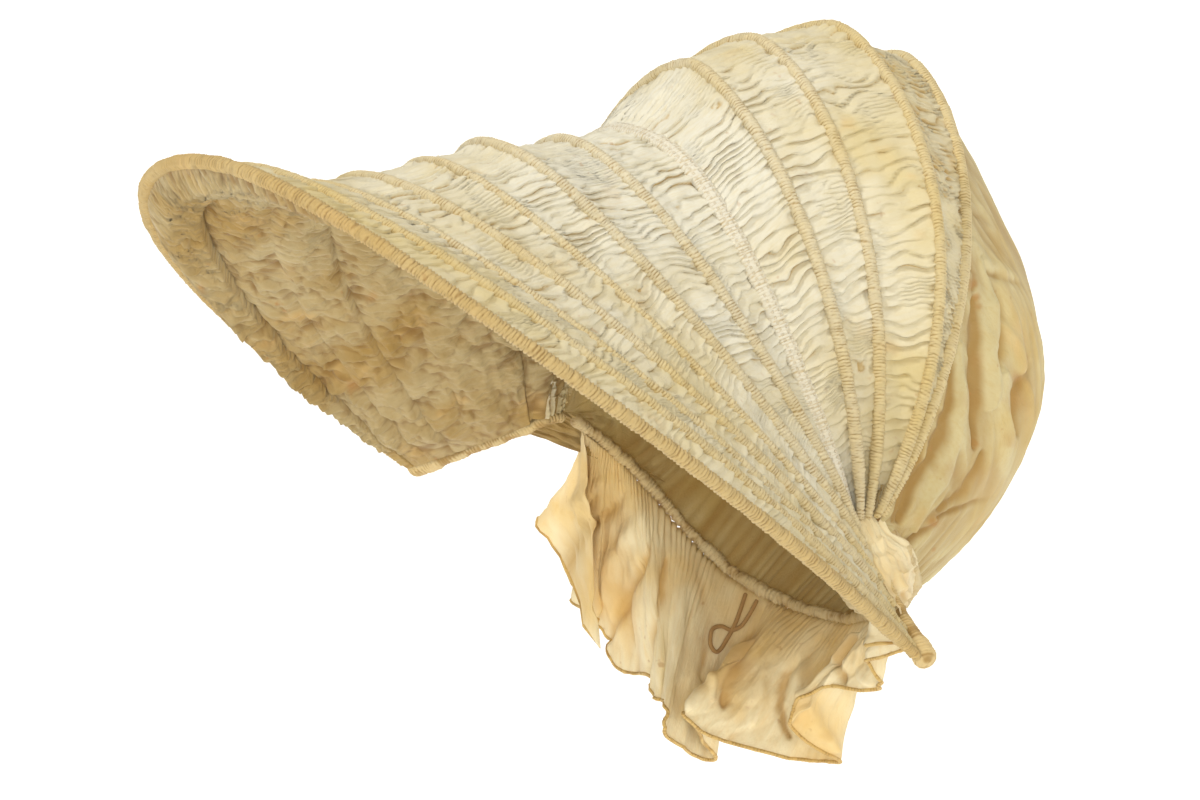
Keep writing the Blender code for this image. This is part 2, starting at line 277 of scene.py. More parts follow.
def outward(points):
    """The unit normals of a grid of points, pointing away from the wearer's head."""
    along = np.gradient(points, axis=1)
    back = np.gradient(points, axis=0)
    normals = np.cross(along, back)
    normals /= np.maximum(np.linalg.norm(normals, axis=2, keepdims=True), 1e-9)
    j, i = points.shape[0] // 2, points.shape[1] // 2
    if normals[j, i] @ (points[j, i] - np.array([0.0, 0.0, 60.0])) < 0.0:
        normals = -normals
    return normals


def unit(vectors):
    return vectors / np.maximum(np.linalg.norm(vectors, axis=-1, keepdims=True), 1e-9)


def grid_mesh(name, points, long, wide, layers):
    """A grid mesh laid over points[row, column], with its UV size in mm and its vertex values."""
    rows, columns = points.shape[:2]
    bm = bmesh.new()
    bm.loops.layers.uv.new("cloth")
    bmesh.ops.create_grid(bm, x_segments=columns - 1, y_segments=rows - 1, size=0.5,
                          calc_uvs=True)
    mesh = bpy.data.meshes.new(name)
    bm.to_mesh(mesh)
    bm.free()
    flat = np.empty(len(mesh.vertices) * 3)
    mesh.vertices.foreach_get("co", flat)
    i = np.rint((flat[0::3] + 0.5) * (columns - 1)).astype(int)
    j = np.rint((flat[1::3] + 0.5) * (rows - 1)).astype(int)
    mesh.vertices.foreach_set("co", ((points[j, i] + JAW_LINE) * MM).ravel())
    uv = np.empty(len(mesh.loops) * 2)
    mesh.uv_layers["cloth"].data.foreach_get("uv", uv)
    uv[0::2] *= long * UV_UNIT
    uv[1::2] *= wide * UV_UNIT
    mesh.uv_layers["cloth"].data.foreach_set("uv", uv)
    for label, values in layers:
        layer = mesh.attributes.new(label, "FLOAT", "POINT")
        layer.data.foreach_set("value", np.ascontiguousarray(values[j, i], dtype=np.float32))
    mesh.update()
    return mesh, i, j


def lay_cloth(name, points, finish, fold, stain=None, tone=None, inner=False):
    """A sheet of cloth: a grid laid over points[row, column], faces outward."""
    rows, columns = points.shape[:2]
    long = np.linalg.norm(np.diff(points[rows // 2], axis=0), axis=1).sum()
    wide = np.linalg.norm(np.diff(points[:, columns // 2], axis=0), axis=1).sum()
    stain = np.zeros((rows, columns)) if stain is None else stain
    tone = np.full((rows, columns), 0.5) if tone is None else tone
    mesh, i, j = grid_mesh(name, points, long, wide,
                           (("fold", fold), ("stain", stain), ("tone", tone)))
    normals = outward(points)
    middle = (rows // 2) * (columns - 1) + columns // 2
    facing = np.array(mesh.polygons[middle].normal)
    corner = mesh.polygons[middle].vertices[0]
    if (facing @ normals[j[corner], i[corner]] < 0.0) != inner:
        mesh.flip_normals()
    mesh.shade_smooth()
    return add_piece(name, mesh, finish)


def add_piece(name, data, finish):
    piece = bpy.data.objects.new(name, data)
    bpy.context.scene.collection.objects.link(piece)
    data.materials.append(finish)
    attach(piece, "root")
    return piece


def cover(name, path, radius, finish, sides=8, flat=1.0, ridge=None, up=None, tone=0.5):
    """Cloth round a cane or cord: a grid rolled round a path and closed along its seam and ends.

    radius is one number or one for each point of the path; ridge(run, angle) gives the extra
    radius; up gives the direction of the narrow side.
    """
    count = len(path)
    along = unit(np.gradient(path, axis=0))
    if up is None:
        up = unit(path - np.array([0.0, 0.0, 30.0]))
    across = unit(np.cross(along, up))
    rise = np.cross(across, along)
    run = np.concatenate([[0.0], np.cumsum(np.linalg.norm(np.diff(path, axis=0), axis=1))])
    angle = np.linspace(0.0, 2.0 * math.pi, sides + 1)
    angle[-1] = 0.0
    runs, angles = np.meshgrid(run, angle)
    extra = ridge(runs, angles) if ridge else np.zeros_like(runs)
    size = np.broadcast_to(radius, (count,)) * np.ones((sides + 1, 1)) + extra
    ends = np.clip(np.minimum(run, run[-1] - run) / (0.8 * np.max(radius)), 0.0, 1.0)
    size = size * np.sqrt(np.clip(1.0 - (1.0 - ends) ** 2, 0.0, 1.0))[None, :]
    points = (path[None] + across[None] * (np.sin(angles) * size * flat)[..., None]
              + rise[None] * (np.cos(angles) * size)[..., None])
    # Painted shade: the fold value follows the ridges, so the hollows between wraps and gathers
    # take the dark colour of the creases.
    fold = np.clip(0.08 + extra / max(float(np.abs(extra).max()), 1e-6), 0.0, 1.0)
    mesh, _, _ = grid_mesh(name, points, run[-1], 1.0 / UV_UNIT,
                           (("fold", fold), ("stain", np.zeros_like(fold)),
                            ("tone", tone * np.ones_like(fold))))
    bm = bmesh.new()
    bm.from_mesh(mesh)
    bmesh.ops.remove_doubles(bm, verts=bm.verts, dist=0.00002)
    bmesh.ops.recalc_face_normals(bm, faces=bm.faces)
    bm.to_mesh(mesh)
    bm.free()
    mesh.shade_smooth()
    return add_piece(name, mesh, finish)


# ---- Finishes ----

class Wire:
    """A node's output on which sums are written as on a plain number."""

    def __init__(self, tree, socket):
        self.tree = tree
        self.socket = socket

    def maths(self, operation, *values):
        node = self.tree.nodes.new("ShaderNodeMath")
        node.operation = operation
        for slot, value in zip(node.inputs, values):
            join(self.tree, slot, value)
        return Wire(self.tree, node.outputs[0])

    def __add__(self, other):
        return self.maths("ADD", self, other)

    def __radd__(self, other):
        return self.maths("ADD", other, self)

    def __sub__(self, other):
        return self.maths("SUBTRACT", self, other)

    def __rsub__(self, other):
        return self.maths("SUBTRACT", other, self)

    def __mul__(self, other):
        return self.maths("MULTIPLY", self, other)

    def sine(self):
        return self.maths("SINE", self)

    def size(self):
        return self.maths("ABSOLUTE", self)

    def between(self, low, high):
        """0 below low and 1 above high."""
        node = self.tree.nodes.new("ShaderNodeMapRange")
        node.interpolation_type = "SMOOTHSTEP"
        join(self.tree, node.inputs["Value"], self)
        node.inputs["From Min"].default_value = low
        node.inputs["From Max"].default_value = high
        return Wire(self.tree, node.outputs[0])


def join(tree, slot, value):
    if isinstance(value, Wire):
        tree.links.new(value.socket, slot)
    else:
        slot.default_value = value


class Finish:
    """A material and the nodes that it is made of."""

    def __init__(self, name):
        self.material = bpy.data.materials.new(name)
        self.material.use_nodes = True
        self.tree = self.material.node_tree
        self.surface = self.tree.nodes["Principled BSDF"]

    def node(self, kind, settings, values, out=0):
        """A node of a kind, set up, with its inputs joined, read at one output."""
        node = self.tree.nodes.new(kind)
        for key, value in settings.items():
            setattr(node, key, value)
        for key, value in values.items():
            join(self.tree, node.inputs[key], value)
        return Wire(self.tree, node.outputs[out])

    def place(self):
        return self.node("ShaderNodeTexCoord", {}, {}, "Object")

    def attribute(self, name):
        return self.node("ShaderNodeAttribute", {"attribute_name": name}, {}, "Fac")

    def uv(self):
        """Distances along and across the cloth, in decimetres."""
        at = self.node("ShaderNodeUVMap", {"uv_map": "cloth"}, {})
        parts = self.tree.nodes.new("ShaderNodeSeparateXYZ")
        join(self.tree, parts.inputs[0], at)
        return at, Wire(self.tree, parts.outputs[0]), Wire(self.tree, parts.outputs[1])

    def clouds(self, scale, detail=3.0, rough=0.5, at=None):
        """Even noise from 0 to 1."""
        return self.node("ShaderNodeTexNoise", {}, {
            "Vector": at or self.place(), "Scale": scale, "Detail": detail, "Roughness": rough})

    def stretched(self, scale, along, across, detail=3.0):
        """Noise on the cloth's own grid, longer one way."""
        at, _, _ = self.uv()
        turned = self.node("ShaderNodeMapping", {}, {0: at, "Scale": (along, across, 1.0)})
        return self.clouds(scale, detail, 0.55, turned)

    def blend(self, amount, first, second):
        """A mix of two colours."""
        node = self.tree.nodes.new("ShaderNodeMix")
        node.data_type = "RGBA"
        join(self.tree, node.inputs["Factor"], amount)
        for key, value in ((6, first), (7, second)):
            join(self.tree, node.inputs[key], value if isinstance(value, Wire) else (*value, 1.0))
        return Wire(self.tree, node.outputs[2])

    def use(self, **slots):
        for key, value in slots.items():
            join(self.tree, self.surface.inputs[key.replace("_", " ")], value)
        return self.material


GOLD_STAIN = (0.74, 0.50, 0.20)
BROWN_SPECK = (0.50, 0.27, 0.09)
BROWN_STAIN = (0.50, 0.27, 0.08)


def silk(name, pale, wear_and_shade, crease_shade, blotch, spots, wraps=False, stitches=()):
    """Old silk: pale on the crests, with painted golden shade in the creases, and clouds and spots
    of stain.
    """
    finish = Finish(name)
    fold = finish.attribute("fold")
    stain = finish.attribute("stain")
    tone = finish.attribute("tone")
    _, along, across = finish.uv()
    wide = finish.clouds(13.0, 3.0, 0.6).between(0.40, 0.70)
    small = finish.clouds(46.0, 4.0, 0.6).between(0.5, 0.75)
    speck = finish.clouds(150.0, 2.0, 0.5).between(0.68, 0.8)
    patch = finish.clouds(27.0, 3.0, 0.55).between(0.60, 0.76)
    streak = finish.stretched(5.0, 9.0, 1.6).between(0.4, 0.75)
    crest = fold.between(0.0, 0.62)
    # The second colour is only the golden colour of aged silk, laid by tone, clouds and streaks; it
    # paints no shade.
    colour = finish.blend(tone * 0.72 + (wide - 0.45) * blotch + small * (0.3 * blotch), pale, wear_and_shade)
    colour = finish.blend(streak * 0.3, colour, wear_and_shade)
    colour = finish.blend(patch * spots * (0.4 + tone), colour, GOLD_STAIN)
    # Painted shade: where the fold value is low, in the creases, the colour goes over to the given
    # shade colour.
    colour = finish.blend((1.0 - crest) * 0.85, colour, crease_shade)
    colour = finish.blend(speck * spots, colour, BROWN_SPECK)
    colour = finish.blend(stain.between(0.0, 1.0) * 0.85, colour, BROWN_STAIN)
    thread = ((along * 1500.0).sine() * (across * 1500.0).sine()) * 0.5 + 0.5
    wrinkle = finish.clouds(420.0, 4.0, 0.6)
    crepe = finish.stretched(26.0, 3.2, 1.0, 4.0)
    height = wrinkle * 0.35 + crepe * (0.25 if wraps else 0.6) + thread * 0.10
    # The stitch lines are sunk in the bump and painted in the same shade colour as the creases.
    for place, dash in stitches:
        line = 1.0 - ((across - place).size() * 30.0).between(0.3, 1.0)
        gaps = (along * 209.0).sine().between(-0.2, 0.3)
        colour = finish.blend(line * gaps * dash, colour, crease_shade)
        height = height - line * gaps * 0.9
    bump = finish.node("ShaderNodeBump", {}, {"Strength": 0.9, "Distance": 0.0007,
                                              "Height": height})
    rough = 0.56 + wide * 0.10 + (1.0 - crest) * 0.12
    finish.surface.inputs["Sheen Weight"].default_value = 0.12
    finish.surface.inputs["Sheen Roughness"].default_value = 0.45
    finish.surface.inputs["Specular IOR Level"].default_value = 0.30
    return finish.use(Base_Color=colour, Roughness=rough, Normal=bump)


# Each silk's third colour is the painted shade of its creases.
HOOD_SILK = silk("hood silk", (0.815, 0.785, 0.655), (0.700, 0.572, 0.262),
                 (0.560, 0.360, 0.100), 0.45, 0.40)
RIB_SILK = silk("rib silk", (0.850, 0.770, 0.560), (0.770, 0.590, 0.230),
                (0.440, 0.280, 0.090), 0.4, 0.2, wraps=True)
RIM_SILK = silk("rim silk", (0.720, 0.550, 0.260), (0.620, 0.410, 0.130),
                (0.360, 0.210, 0.060), 0.5, 0.4, wraps=True)
BAND_SILK = silk("band silk", (0.910, 0.865, 0.730), (0.850, 0.740, 0.470),
                 (0.680, 0.530, 0.280), 0.3, 0.06, wraps=True,
                 stitches=((0.93, 0.35), (0.07, 0.35)))
LINING_SILK = silk("lining silk", (0.565, 0.455, 0.240), (0.440, 0.285, 0.085),
                   (0.250, 0.130, 0.030), 0.9, 0.70)
CROWN_SILK = silk("crown silk", (0.700, 0.600, 0.325), (0.610, 0.430, 0.140),
                  (0.400, 0.230, 0.055), 0.9, 0.6)
FRILL_SILK = silk("frill silk", (0.930, 0.815, 0.530), (0.830, 0.600, 0.250),
                  (0.620, 0.380, 0.110), 1.0, 0.5)
HEM_SILK = silk("hem silk", (0.780, 0.560, 0.210), (0.700, 0.450, 0.140),
                (0.480, 0.280, 0.080), 0.5, 0.2, wraps=True)
BINDING_SILK = silk("binding silk", (0.820, 0.670, 0.370), (0.720, 0.510, 0.200),
                    (0.420, 0.250, 0.070), 0.6, 0.4)
CASING_SILK = silk("casing silk", (0.800, 0.680, 0.420), (0.690, 0.490, 0.190),
                   (0.420, 0.250, 0.080), 0.6, 0.3)
TAPE = silk("drawstring", (0.760, 0.530, 0.250), (0.600, 0.380, 0.150),
            (0.420, 0.240, 0.090), 0.5, 0.2, wraps=True)

# How golden the cloth has turned at each hoop, 0 pale and 1 golden
TONES = (0.95, 0.83, 0.70, 0.58, 0.52, 0.40, 0.26, 0.05, 0.30, 0.56, 0.92, 1.10)

# Hoops and panels that differ from the others, counted from 0 at the rim
RIM = 0
BAND = 7
LAST_PANEL = 10


# ---- The hood ----

def ruche(run, side, across, width, spacing, seed, slant):
    """Cloth gathered between two ribs, in thin pleats that lie over each other.

    side is -1 on the wearer's left and 1 on the right, so that the pleats hang down. A slant
    above 0 makes herringbone pleats. The height runs from 0 to 1, and the fold is 0 in the creases
    and 1 on the flat cloth; the fold sets painted shade along the pleat lines and in the fine
    pleats.
    """
    down = across * width
    edge = np.minimum(across, 1.0 - across) * width
    ripple = (1.1 * drift(run / 21.0, down / 4.8, seed)
              + 2.0 * drift(run / 34.0, down / 12.0, seed + 8))
    stray = 0.9 * drift(run / 5.0, down / 6.0, seed + 1)
    uneven = 0.70 * spacing * drift(run / (1.7 * spacing), down / 16.0, seed + 2)
    uneven = uneven + 6.0 * drift(run / 30.0, 0.0, seed + 6)
    place = (run + side * slant * edge + ripple + stray + uneven) / spacing
    phase = place - np.floor(place)
    size = np.random.RandomState(seed).uniform(0.45, 1.0, 512)[np.floor(place).astype(int) % 512]
    steep = 0.5 + 0.32 * side
    saw = np.minimum(phase / steep, (1.0 - phase) / (1.0 - steep)) ** 0.75
    near = np.minimum(phase, 1.0 - phase) * spacing
    faded = ramp(drift(run / 7.5, down / 8.0, seed + 7), -0.55, 0.35)
    held = np.exp(-(edge / 4.0) ** 2)
    strength = (0.30 + 0.70 * np.maximum(faded, held)) * size
    fine = place / 0.40 + 0.25 * drift(run / 3.0, down / 5.0, seed + 4)
    tight = pleats(fine, 0.8)
    dense = ramp(drift(run / 24.0, across * 1.4, seed + 3), 0.2, 0.5) * (0.1 if slant else 1.0)
    dense = np.maximum(dense, (0.25 if slant else 0.85) * np.exp(-(edge / 2.3) ** 2))
    puff = 0.25 * drift(run / 9.0, down / 7.0, seed + 5)
    high = ((0.72 + puff + (saw - 0.78) * 1.15 * strength) * (1.0 - dense)
            + (0.35 + 0.38 * tight) * dense)
    # Painted shade: a dark line along each pleat's edge, taken out of the fold value.
    crease_shade = np.exp(-(near / 0.85) ** 2) * strength
    fold = (1.0 - crease_shade) * (1.0 - dense) + (0.42 + 0.58 * tight) * dense
    # Painted shade: on the herringbone panel the whole fold value is lowered, darkening it all.
    return np.clip(high, 0.0, 1.15), np.clip(fold, 0.0, 1.0) * (0.66 if slant else 1.0)


def panel(k, share, count, whole):
    """The grid between hoop k and the next, without its last row unless it is whole.

    Gives its points, the run along its rows, the place across it from 0 to 1, its width, and how
    far each column is from the hoop's nearer foot.
    """
    here, long_here = even_hoop(HOOPS[k], share)
    after, long_after = even_hoop(HOOPS[k + 1], share)
    across = np.linspace(0.0, 1.0, count + 1)[: None if whole else -1, None]
    width = np.linalg.norm(after - here, axis=1)[None, :]
    run = (share * 0.5 * (long_here + long_after))[None, :]
    run, across = np.broadcast_arrays(run, across)
    points = here[None] * (1.0 - across[..., None]) + after[None] * across[..., None]
    return points, run, across, width, np.minimum(share, 1.0 - share)[None, :] * long_here


def hood_cloth_between(first, last, columns, steps, seed):
    """The ruched cloth over hoops first to last, as a grid of points with its folds."""
    share = np.linspace(*SHEET_SPAN, columns)
    base = []
    lift = []
    folds = []
    slide = []
    tones = []
    for k in range(first, last):
        grid, run, across, width, foot = panel(k, share, steps[k - first], k == last - 1)
        side = 2.0 * ramp(share, 0.47, 0.53)[None, :] - 1.0
        slant = 1.4 if k == LAST_PANEL else 0.0
        high, fold = ruche(run, side, across, width, HOOPS[k][10], seed + 20 * k, slant)
        narrow = np.clip(width / 12.0, 0.3, 1.0)
        sag = HOOPS[k][9] * np.sin(math.pi * across) ** 0.7 * np.clip(width / 20.0, 0.3, 1.0)
        if k >= BAND:
            sag = sag + 5.0 * np.exp(-(foot / 55.0) ** 2) * np.sin(math.pi * across)
        swell = 0.9 * drift(run / 15.0, across * 1.3, seed + 20 * k + 9) * np.sin(math.pi * across)
        edge = np.minimum(across, 1.0 - across) * width
        pit = ramp(drift(run / 4.5, across * 3.0, seed + 20 * k + 11), 0.15, 0.7)
        pit = 1.7 * pit * np.exp(-((edge - 3.2) / 1.8) ** 2)
        lift.append(-1.3 - sag + (3.6 * high + 1.6 * swell - 1.4 * pit) * narrow)
        # Painted shade: the fold value is lowered in the pits beside the ribs.
        fold = np.clip(fold * (1.0 - 0.3 * pit), 0.0, 1.0)
        slide.append(high * narrow * side * (2.1 + 0.8 * drift(run / 40.0, across, seed + 7 + k)))
        tones.append(aged(k + across, share[None, :]))
        folds.append(fold)
        base.append(grid)
    base = np.concatenate(base)
    normals = outward(base)
    along = unit(np.gradient(base, axis=1))
    points = (base + normals * np.concatenate(lift)[..., None]
              + along * np.concatenate(slide)[..., None])
    return points, np.concatenate(folds), np.concatenate(tones)


def aged(place, share):
    """How golden the cloth is at a place counted in hoops and at a share of the hoop."""
    place, share = np.broadcast_arrays(place, share)
    low = np.abs(share - 0.5) * 2.0
    tone = np.interp(place, np.arange(len(TONES)), TONES) + 0.30 * low ** 4
    return np.clip(tone + 0.28 * drift(place * 0.9, share * 16.0, 91), 0.0, 0.95)


HOOD_PARTS = (
    ("hood_ruching_brim", 0, 4, 1300, (12, 14, 14, 14), HOOD_SILK),
    ("hood_ruching_middle", 4, 7, 1300, (16, 18, 20), HOOD_SILK),
    ("hood_ruching_back", 7, 11, 1200, (20, 20, 20, 20), HOOD_SILK),
)


def make_hood():
    for name, first, last, columns, steps, finish in HOOD_PARTS:
        points, fold, tone = hood_cloth_between(first, last, columns, steps, 3)
        piece = lay_cloth(name, points, finish, fold, None, tone)
        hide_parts("hood_cloth")
        wide = sum(float(np.linalg.norm(even_hoop(HOOPS[k], np.array([0.5]))[0]
                                        - even_hoop(HOOPS[k + 1], np.array([0.5]))[0]))
                   for k in range(first, last))


# ---- The ribs ----

def make_ribs():
    for k, row in enumerate(HOOPS):
        name = f"rib_{k + 1:02d}"
        long = even_hoop(row, np.array([0.5]))[1]
        count = int(long / 0.42)
        trim = (5.4 if row[4] > 0.1 else 9.0) / long
        share = np.linspace(trim * 0.6, 1.0 - trim * 0.6, count)
        path, _ = even_hoop(row, share)
        foot = np.minimum(share, 1.0 - share) * long
        radius = row[7] * (0.62 + 0.38 * ramp(foot, 4.0, 40.0))
        radius = radius * (1.0 + 0.07 * drift(share * long / 14.0, 0.0, 50 + k))

        def ridge(run, angle, k=k):
            wobble = 0.55 * drift(run / 3.4, np.cos(angle) * 1.3, 60 + k)
            turns = run / (2.0 if k == RIM else 1.7) + 0.35 * np.sin(angle + 0.6) + wobble
            wrap = pleats(turns, 1.1)
            rough = {RIM: 1.15, BAND: 0.55}.get(k, 1.0)
            return rough * (0.72 * wrap + 0.22 * drift(run / 2.6, np.cos(angle) * 2.0, 80 + k))

        finish = {RIM: RIM_SILK, BAND: BAND_SILK}.get(k, RIB_SILK)
        tone = aged(k, share)[None, :] * (0.55 if k == RIM else 1.0)
        piece = cover(name + "_cover", path, radius, finish, 8, row[8], ridge,
                      tone=tone)
        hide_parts(name)


# ---- The lining ----

# For each panel of the lining, rim first: rows, and how firmly it is caught down at its ribs
LINING_ROWS = (16, 20, 16, 16, 16, 20, 20, 6, 6, 6, 6)
LINING_HELD = (0.25, 0.9, 0.35, 0.6, 0.35, 0.3, 0.3, 0.3, 0.3, 0.3, 0.3)


def make_lining():
    """The rumpled inner cloth, caught down along each rib, flatter behind the band."""
    columns = 640
    share = np.linspace(*SHEET_SPAN, columns)
    base = []
    depth = []
    folds = []
    for k in range(LAST_PANEL + 1):
        grid, run, across, width, foot = panel(k, share, LINING_ROWS[k], k == LAST_PANEL)
        down = across * width
        low = np.abs(share - 0.5)[None, :] * 2.0
        puffed = ramp(low, 0.10, 0.6)
        warp = 4.0 * drift(run / 14.0, down / 11.0 + k * 3.1, 211)
        twist = 4.0 * drift(run / 11.0, down / 14.0 + k * 2.3, 217)
        big, split = crumple((run + 2.0 * warp) / 13.0, (down + 2.0 * twist) / 19.0 + k * 5.3, 212)
        small, _ = crumple((run + twist) / 5.5, (down + 1.5 * warp) / 9.0 + k * 7.7, 213)
        pleat = pleats((run + 2.4 * drift(run / 18.0, down / 8.0, 214 + k)
                        + 1.6 * drift(run / 6.0, down / 4.0, 216)
                        + 6.0 * drift(run / 25.0, 0.0, 230 + k)) / 4.8, 0.6)
        ridge = spines(drift((run + warp) / 15.0, (down + twist) / 10.0 + k * 4.1, 218), 0.8)
        spine = spines(drift((run - twist) / 6.0, (down + warp) / 5.0 + k * 6.1, 219), 0.7)
        high = ((0.10 + 0.40 * puffed) * big + (0.10 + 0.30 * puffed) * ridge + 0.18 * spine
                + (0.60 - 0.45 * puffed) * pleat + 0.10 * small)
        caught = 1.0 - LINING_HELD[k] * (1.0 - np.sin(math.pi * across) ** 0.4)
        room = np.clip(width / 16.0, 0.2, 1.0) * np.clip(foot / 28.0, 0.15, 1.0)
        seam = np.clip(across / 0.35, 0.0, 1.0) ** 0.6 if k == RIM else 1.0
        if k == LAST_PANEL:
            seam = np.clip((1.0 - across) / 0.35, 0.0, 1.0) ** 0.6
        caught = caught * seam
        if k < 2:
            caught = caught * (1.0 - (0.85, 0.5)[k] * ramp(grid[:1, :, 0], 30.0, 90.0))
            high = high + (0.35, 0.0)[k] * pleat * ramp(-grid[:1, :, 0], 0.0, 60.0)
        depth.append((1.6 + 2.6 * np.exp(-foot / 22.0)) * seam + room * caught * 11.5 * high
                     + np.clip(1.0 - caught, 0.0, 0.6) * 1.4 * pleat * room * seam)
        # Painted shade: this mask, with the height below, lowers the fold value in the crumple
        # creases, where the cloth is caught down at the ribs and in the hollows, so that they take
        # the dark colour of the creases; it is not wear.
        wear_and_shade = (0.30 + 0.70 * split) * (0.45 + 0.55 * caught) * (0.35 + 0.65 * spine)
        folds.append(np.clip(wear_and_shade * (0.10 + 1.5 * high), 0.0, 1.0))
        base.append(grid)
    base = np.concatenate(base)
    depth = np.concatenate(depth)
    folds = np.concatenate(folds)
    points = base - outward(base) * depth[..., None]
    stain = marks(points, LINING_MARKS)
    tone = np.broadcast_to(0.22 + 0.72 * np.abs(share - 0.5) * 2.0, folds.shape)
    piece = lay_cloth("brim_lining_silk", points, LINING_SILK, folds, stain, tone,
                      inner=True)
    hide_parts("brim_lining")


# Stains of the lining and the crown: place in the picture, size in pixels, strength
LINING_MARKS = (
    (201, 289, 5, 0.9), (352, 385, 7, 0.8), (373, 297, 6, 0.6), (290, 270, 9, 0.35),
    (236, 344, 6, 0.5), (300, 232, 9, 0.3), (470, 330, 10, 0.3),
)
CROWN_MARKS = (
    (974, 284, 5, 1.0), (977, 297, 4, 0.9), (979, 307, 4, 0.8), (932, 521, 6, 1.0),
    (966, 262, 9, 0.4), (1018, 400, 18, 0.45), (975, 443, 5, 0.9), (1016, 378, 5, 0.7),
    (985, 480, 24, 0.35), (1022, 236, 8, 0.3), (1010, 440, 10, 0.45), (950, 470, 12, 0.4),
    (978, 360, 10, 0.35), (968, 400, 12, 0.3), (1000, 540, 14, 0.25),
)

# The crown's folds: height in mm, width in pixels, then the line in the picture
CROWN_FOLDS = (
    (-5.5, 5.0, (974, 298), (979, 340), (979, 390), (975, 446)),
    (4.0, 6.0, (984, 260), (993, 300), (992, 350), (990, 410)),
    (-3.5, 3.6, (983, 256), (998, 300), (1003, 335), (998, 372)),
    (4.5, 7.0, (1000, 278), (1015, 325), (1019, 372)),
    (3.4, 5.0, (972, 240), (990, 262), (1012, 277), (1036, 282)),
    (-3.0, 3.0, (990, 272), (1010, 283), (1034, 288)),
    (-5.5, 6.0, (1031, 362), (1014, 396), (1016, 436)),
    (3.4, 7.0, (1001, 372), (1007, 420), (1003, 470)),
    (-4.2, 4.5, (953, 345), (950, 410), (933, 456), (898, 522)),
    (3.4, 6.0, (963, 345), (961, 420), (946, 470), (912, 530)),
    (-3.2, 4.0, (930, 425), (916, 475), (893, 522)),
    (-3.0, 3.0, (966, 212), (985, 216), (1004, 232)),
    (2.5, 5.0, (964, 200), (990, 205), (1010, 228)),
    (-3.0, 2.6, (1004, 488), (962, 509), (908, 541), (878, 556)),
    (-2.5, 4.0, (985, 450), (968, 490), (940, 512)),
    (3.0, 6.0, (935, 520), (915, 548), (908, 572)),
    (-2.5, 3.0, (968, 262), (975, 275), (972, 292)),
)


# The frill's stains, in the same way
FRILL_MARKS = (
    (738, 665, 14, 0.45), (752, 640, 9, 0.4), (700, 640, 7, 0.3), (560, 560, 9, 0.3),
    (792, 600, 8, 0.6), (770, 607, 6, 0.5), (600, 520, 12, 0.3), (640, 600, 10, 0.25),
    (715, 700, 12, 0.3), (826, 735, 8, 0.35),
)


CROWN_RUN = 470.0


def make_crown():
    """The soft crown: long folds hanging from the last rib to the gathered neck."""
    columns, rows = 420, 150
    share = np.linspace(0.0, 1.0, columns)
    sections = np.array([even_hoop(row, share)[0] for row in CROWN_SECTIONS])
    sections[-1, :, 2] -= neck_sag(180.0 * share)
    sections[-2, :, 2] -= 0.35 * neck_sag(180.0 * share)
    spots = np.linspace(0.0, len(sections) - 1.0, rows)
    table = np.concatenate([np.arange(len(sections))[:, None],
                            sections.reshape(len(sections), -1)], axis=1)
    base = smooth_table(table, spots).reshape(rows, columns, 3)
    down = np.linspace(0.0, 1.0, rows)[:, None]
    run = (share * CROWN_RUN)[None, :]
    run, down = np.broadcast_arrays(run, down)
    wander = 14.0 * drift(run / 60.0, down * 1.6, 301) + 5.0 * drift(run / 22.0, down * 2.5, 302)
    long_fold = drift((run + wander) / 17.0, down * 1.3, 303)
    sharp = spines(drift((run + wander) / 26.0, down * 1.1, 304), 0.6)
    soft = drift(run / 9.0, down * 4.0, 305)
    middle = np.sin(math.pi * np.clip(down, 0.0, 1.0)) ** 0.6
    seam = np.exp(-(down / 0.055) ** 2)
    neck = ramp(down, 0.72, 1.0)
    gather = pleats((run + 2.0 * drift(run / 9.0, down * 9.0, 306)) / 3.8, 0.8)
    tucks = pleats((run + 3.0 * drift(run / 20.0, down * 5.0, 307)
                    + 9.0 * drift(run / 17.0, 0.0, 309)) / 8.5, 0.8)
    back = np.array(camera_axes()[2])
    near = ramp(outward(base) @ back, 0.22, 0.55) * ramp(base[..., 0], 0.0, 30.0)
    drawn = drawn_folds(base, CROWN_FOLDS, 321) * near
    puff, split = crumple((run + wander) / 17.0, down * 4.5 + 0.10 * wander + 0.03 * run, 308)
    rumple = spines(drift((run + 0.6 * wander) / 8.0, down * 5.0 + 0.08 * wander, 311), 0.6)
    lift = (-1.0 * (1.0 - down) + 1.1 * middle * drawn + 2.4 * middle * (puff - 0.5)
            + middle * (2.4 * long_fold + 3.0 * (sharp - 0.55)) * (1.0 - 0.6 * near)
            + 0.7 * soft + 1.7 * middle * (rumple - 0.5)
            + 1.3 * (gather - 0.5) * seam + 1.5 * (tucks - 0.5) * neck)
    side = np.clip(12.0 * np.sin(math.pi * share), 0.0, 1.0)[None, :]
    points = base + outward(base) * (lift * side)[..., None]
    # Painted shade: the fold value follows the folds, darker in their hollows, and in the gathers
    # at the top seam and at the neck.
    fold = np.clip(0.40 + 0.10 * long_fold + 0.2 * (sharp - 0.55) + 0.15 * drawn
                   + 0.12 * (split - 0.5) + 0.26 * (rumple - 0.5), 0.0, 1.0)
    fold = fold * (1.0 - 0.6 * seam * (1.0 - gather)) * (1.0 - 0.6 * neck * (1.0 - tucks))
    stain = marks(points, CROWN_MARKS) * (share[None, :] < 0.5)
    piece = lay_cloth("crown_silk_outer", points, CROWN_SILK, fold, stain)
    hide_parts("crown_cloth")


# ---- The neck ----

def neck_sag(turn):
    turn = np.asarray(turn, float)
    return smooth_table(NECK_SAG, turn.ravel())[:, 0].reshape(turn.shape)


